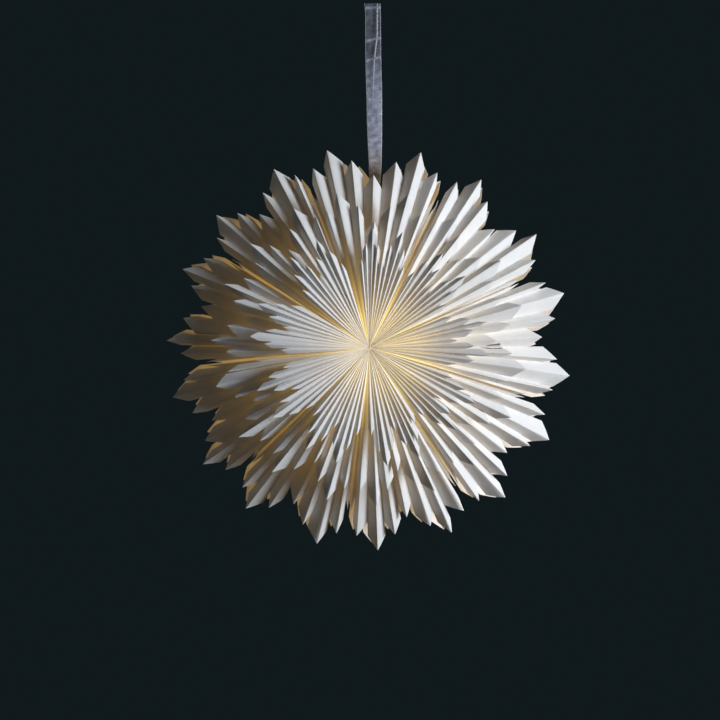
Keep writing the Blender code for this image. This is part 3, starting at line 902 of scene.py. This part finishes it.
def turned(name, profile, segments=PLAIN_SEGMENTS, closed=False, shaped=None):
    """A turned solid about the flex's line. shaped(radius, z, turn) may change a radius."""
    shape = bmesh.new()
    rings = []
    for radius, z in profile:
        if radius < ON_AXIS:
            rings.append([shape.verts.new((0.0, 0.0, z))])
            continue
        ring = []
        for step in range(segments):
            turn = 2 * pi * step / segments
            out = shaped(radius, z, turn) if shaped else radius
            ring.append(shape.verts.new((out * cos(turn), out * sin(turn), z)))
        rings.append(ring)
    pairs = list(zip(rings, rings[1:]))
    if closed:
        pairs.append((rings[-1], rings[0]))
    for first, second in pairs:
        for step in range(segments):
            following = (step + 1) % segments
            if len(first) == len(second) == 1:
                continue
            if len(first) == 1:
                shape.faces.new((first[0], second[following], second[step]))
            elif len(second) == 1:
                shape.faces.new((first[step], first[following], second[0]))
            else:
                shape.faces.new((first[step], first[following], second[following], second[step]))
    bmesh.ops.recalc_face_normals(shape, faces=shape.faces)
    mesh = bpy.data.meshes.new(name)
    shape.to_mesh(mesh)
    shape.free()
    mesh.shade_smooth()
    mesh.set_sharp_from_angle(angle=HARD_ANGLE)
    return mesh


def join_meshes(name, meshes):
    """One mesh of several closed pieces."""
    shape = bmesh.new()
    for part in meshes:
        shape.from_mesh(part)
        bpy.data.meshes.remove(part)
    mesh = bpy.data.meshes.new(name)
    shape.to_mesh(mesh)
    shape.free()
    return mesh


def trefoil(centre, reach, flip):
    """Points of a small trefoil loop round centre, in the plane the star faces."""
    points = []
    for step in range(TREFOIL_STEPS + 1):
        t = 2 * pi * step / TREFOIL_STEPS
        x = (sin(t) + 2 * sin(2 * t)) / 3 * reach[0]
        z = (cos(t) - 2 * cos(2 * t)) / 3 * reach[2]
        y = -sin(3 * t) * reach[1] * flip
        points.append(centre + Vector((x, y, z)))
    return points


def twisted_cord(name, points, radius, lay):
    """Two plies wound round each other along a path."""
    points = [Vector(point) for point in points]
    plies = []
    for start in (0.0, pi):
        path = []
        travelled = 0.0
        for first, second in zip(points, points[1:]):
            length = (second - first).length
            direction = (second - first).normalized()
            side = direction.cross(Vector((1.0, 0.0, 0.0))).normalized()
            steps = max(2, round(length / (lay / LAY_STEPS)))
            for step in range(steps):
                turn = start + 2 * pi * (travelled + length * step / steps) / lay
                offset = side * cos(turn) + direction.cross(side) * sin(turn)
                path.append(first.lerp(second, step / steps) + offset * radius * PLY_OFFSET)
            travelled += length
        plies.append(tube_mesh(f"{name}_ply", path, radius * PLY_RADIUS, 8))
    return join_meshes(name, plies)


def add_knots_and_yoke():
    """Thread knots that gather the folds, the cord between them and the ribbon's own knot."""
    thread = thread_material()
    for where, side in (("front", -1), ("back", 1)):
        name = f"{where}_gathering_knot"
        top = STAR + Vector((0.0, side * KNOT_Y, 0.0))
        foot = STAR + Vector((0.0, side * SHANK_END_Y, 0.0))
        loop = tube_mesh(f"{name}_loop", trefoil(top, KNOT_REACH, side), KNOT_CORD_RADIUS, 10)
        shank = tube_mesh(f"{name}_shank", [top, top.lerp(foot, 0.5), foot], SHANK_RADIUS, 12)
        knot = add_object(name, join_meshes(name, [loop, shank]), thread, "star_core")
        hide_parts(f"{where}_centre_knot")
    x, z = YOKE_TOP
    path = [
        (STAR.x, -SHANK_END_Y, STAR.z), (x, -YOKE_HALF_LOOP, z - YOKE_TOP_DROP),
        (x, -YOKE_HALF_LOOP * 0.5, z), (x, YOKE_HALF_LOOP * 0.5, z),
        (x, YOKE_HALF_LOOP, z - YOKE_TOP_DROP), (STAR.x, SHANK_END_Y, STAR.z)]
    yoke = add_object("yoke_twist", twisted_cord("yoke_twist", path, YOKE_RADIUS, YOKE_LAY),
                      thread, "star_core")
    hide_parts("yoke_cord")

    centre = Vector((0.0, 0.0, TAIL_KNOT_Z))
    wraps = tube_mesh("wraps", trefoil(centre, TAIL_KNOT_REACH, 1),
                      TAIL_KNOT_RADIUS, 18, TAIL_KNOT_SQUASH)
    knot = add_object("ribbon_knot", wraps, ORGANZA, "star_core")
    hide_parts("ribbon_tail")


def holder_radius(radius, z, turn):
    """Finger ribs on the holder's outside."""
    ribbed = radius > HOLDER_RADIUS - SAME_RADIUS and RIBS_LOW < z < RIBS_TOP
    return radius - (RIB_DEPTH if ribbed and cos(HOLDER_RIBS * turn) < RIB_LEVEL else 0.0)


def cap_radius(radius, z, turn):
    """The rounded thread rolled into the cap."""
    low, high = NECK_Z + THREAD_ENDS[0], CAP_TOP - THREAD_ENDS[1]
    if not low < z < high or radius < CAP_RADIUS - SAME_RADIUS:
        return radius
    fade = min(1.0, (z - low) / THREAD_FADE, (high - z) / THREAD_FADE)
    wave = 0.5 - 0.5 * cos(2 * pi * z / THREAD_PITCH - turn)
    return radius - THREAD_DEPTH * wave * fade


def add_turned(name, profile, segments, look, body, replaced=None, **shape):
    """A turned piece that rides on a body. look is its material and a slot name; the slot name is
    not used.
    """
    material, slot = look
    mesh = turned(name, profile, segments, **shape)
    piece = add_object(name, mesh, material, body)
    if replaced:
        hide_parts(replaced)


def grip_profile():
    """Rings that widen downwards."""
    top = HOLDER_TOP + GRIP_HEIGHT
    grip = [(0.0, top), (GRIP_TOP_RADIUS, top)]
    for ring in range(GRIP_RINGS):
        z = top - GRIP_FIRST_RING - ring * GRIP_RING_STEP
        radius = GRIP_TOP_RADIUS + GRIP_RING_GROWTH * ring
        grip += [(radius + GRIP_RING_OUT, z), (radius, z - GRIP_GROOVE)]
    foot = HOLDER_TOP + GRIP_SEAT
    grip += [(GRIP_LOW_RADIUS, HOLDER_TOP + GRIP_FOOT), (GRIP_LOW_RADIUS, foot), (0.0, foot)]
    return soften(grip, ROUNDING["grip"])


def holder_profile():
    """Down the outside, round the mouth and up the bore."""
    start, fall = HOLDER_SHOULDER
    shoulder = soften([(0.0, HOLDER_TOP), (start, HOLDER_TOP), (HOLDER_RADIUS, HOLDER_TOP - fall),
                       (HOLDER_RADIUS, RIBS_TOP + RIB_END)], ROUNDING["shoulder"])
    wall = [(HOLDER_RADIUS, RIBS_TOP + (RIBS_LOW - RIBS_TOP) * i / RIB_STEPS)
            for i in range(RIB_STEPS + 1)]
    roof = HOLDER_TOP - HOLDER_ROOF
    mouth = soften([(HOLDER_RADIUS, RIBS_LOW - RIB_END), (HOLDER_RADIUS, HOLDER_LOW),
                    (HOLDER_MOUTH, HOLDER_LOW), (HOLDER_BORE, HOLDER_LOW + MOUTH_DEPTH),
                    (HOLDER_BORE, roof), (0.0, roof)], ROUNDING["mouth"])
    return shoulder + wall + mouth


def cap_profile():
    """From the crown down the threaded barrel to the neck."""
    high, low = CAP_TOP - CAP_SHOULDER, NECK_Z + CAP_FLARE
    foot = NECK_Z + CAP_GAP
    barrel = [(CAP_RADIUS, high + (low - high) * i / CAP_STEPS) for i in range(CAP_STEPS + 1)]
    rim = [(NECK_RADIUS - inside, foot + above) for inside, above in CAP_RIM]
    return [(0.0, CAP_TOP), (CAP_CROWN, CAP_TOP), *barrel, *rim, (0.0, foot)]


def globe_profile():
    """Round the outside to the bottom, and back inside."""
    start = pi / 2 - NECK_ARC
    angles = [start - (start + pi / 2) * i / GLOBE_STEPS for i in range(GLOBE_STEPS)]
    inner = GLOBE_RADIUS - GLOBE_WALL
    outside = [(GLOBE_RADIUS * cos(a), GLOBE_Z + GLOBE_RADIUS * sin(a)) for a in angles]
    inside = [(inner * cos(a), GLOBE_Z + inner * sin(a)) for a in reversed(angles)]
    bottom = [(0.0, GLOBE_Z - GLOBE_RADIUS), (0.0, GLOBE_Z - inner)]
    return [(NECK_RADIUS, NECK_Z), *outside, *bottom, *inside, (NECK_RADIUS - GLOBE_WALL, NECK_Z)]


def add_lamp():
    """The flex grip and the holder, which stay, and the bulb, which unscrews."""
    plastic = (jacket_material("holder_plastic", (0.86, 0.86, 0.84), 0.36), "holder_plastic")
    add_turned("flex_grip", grip_profile(), 48, plastic, "star_core", "cord_grip")
    add_turned("ribbed_holder", holder_profile(), RIB_SEGMENTS, plastic, "star_core",
               "lamp_holder", shaped=holder_radius)
    metal = (cap_material(), "cap_metal")
    add_turned("threaded_cap", cap_profile(), PLAIN_SEGMENTS, metal, "bulb", "bulb_cap",
               shaped=cap_radius)
    contact = soften([(radius, CAP_TOP + above) for radius, above in CONTACT],
                     ROUNDING["contact"])
    add_turned("end_contact", contact, 40, (contact_material(), "cap_metal"), "bulb")
    add_turned("opal_bulb", globe_profile(), PLAIN_SEGMENTS, (globe_material(), "opal_globe"),
               "bulb", "bulb_globe", closed=True)


# The star -----------------------------------------------------------------------------------

for leaf in range(LEAF_COUNT):
    leaf_rng = np.random.default_rng(LEAF_SEED + leaf)
    shared = leaf_rng.normal(0, 1, 2 * len(INNER.pattern)).clip(-MOST, MOST)
    for number, layer in enumerate((OUTER, MID, INNER)):
        for side in (-1, 1):
            seed = FAN_SEED + leaf * 10 + number * 2 + (side > 0)
            add_fan(leaf, layer, side, shared, seed)
add_ribbon()
add_knots_and_yoke()
add_lamp()
assign("seam_tape", tape_material())


# Stage, light and camera --------------------------------------------------------------------

FLOOR_Z = -1.52
FLOOR_RADIUS = 3.0
FLOOR_SEGMENTS = 128
FLOOR_COLOR = (0.78, 0.78, 0.77, 1.0)
FLOOR_GLOW = 0.42
BACKDROP = (0.0056, 0.0100, 0.0114, 1.0)
# Name, place from the star's centre, width, watts, colour. The key is close, so that it fades
# across the star.
LIGHTS = (
    ("key", (0.92, -0.55, 0.15), 0.36, 12.2, (0.87, 0.925, 1.0)),
    ("side_fill", (0.55, -0.35, -0.20), 0.25, 0.58, (0.92, 0.95, 1.0)),
    ("fill", (-1.6, -2.2, 0.9), 2.2, 1.2, (0.93, 0.95, 1.0)),
    ("back_key", (1.3, 1.9, 0.7), 1.4, 20.0, (0.98, 0.98, 1.0)),
    ("back_fill", (-1.9, 1.5, 0.5), 1.8, 4.0, (1.0, 0.99, 0.97)),
)
PICTURE_WIDTH = 0.800  # what the camera sees across, at the star's front
PICTURE_CENTRE = (-0.015, -0.02, -0.4003)
LENS, SENSOR = 85.0, 36.0


def add_floor():
    """A pale floor, well below the star."""
    floor_mesh = bpy.data.meshes.new("floor")
    shape = bmesh.new()
    bmesh.ops.create_circle(shape, cap_ends=True, segments=FLOOR_SEGMENTS, radius=FLOOR_RADIUS)
    shape.to_mesh(floor_mesh)
    shape.free()
    floor = bpy.data.objects.new("floor", floor_mesh)
    bpy.context.scene.collection.objects.link(floor)
    floor.location.z = FLOOR_Z
    pale = Nodes("floor_pale")
    pale.set(Base_Color=FLOOR_COLOR, Roughness=0.9,
             Emission_Color=FLOOR_COLOR, Emission_Strength=FLOOR_GLOW)
    floor_mesh.materials.append(pale.material)
    floor.visible_diffuse = False  # its paleness isn't thrown back onto the star


def add_area(name, offset, size, power, color):
    """A round soft light that looks at the star."""
    data = bpy.data.lights.new(name, "AREA")
    data.shape = "DISK"
    data.size = size
    data.energy = power
    data.color = color
    lamp = bpy.data.objects.new(name, data)
    bpy.context.scene.collection.objects.link(lamp)
    lamp.visible_camera = False
    lamp.location = STAR + Vector(offset)
    lamp.rotation_euler = (-Vector(offset)).to_track_quat("-Z", "Y").to_euler()


def add_world():
    """A dark plain backdrop, and colours shown as they are."""
    world = bpy.data.worlds.new("studio")
    bpy.context.scene.world = world
    world.use_nodes = True
    backdrop = world.node_tree.nodes["Background"]
    backdrop.inputs["Color"].default_value = BACKDROP
    backdrop.inputs["Strength"].default_value = 1.0
    bpy.context.scene.view_settings.view_transform = "Standard"


def add_camera():
    """Square to the star's front, with PICTURE_WIDTH filling the picture's side."""
    data = bpy.data.cameras.new("camera")
    data.lens = LENS
    data.sensor_width = SENSOR
    camera = bpy.data.objects.new("camera", data)
    bpy.context.scene.collection.objects.link(camera)
    x, y, z = PICTURE_CENTRE
    camera.location = (x, y - PICTURE_WIDTH * LENS / SENSOR, z)
    camera.rotation_euler = (pi / 2, 0.0, 0.0)
    bpy.context.scene.camera = camera


add_floor()
for name, offset, size, power, color in LIGHTS:
    add_area(name, offset, size, power, color)
add_world()
add_camera()
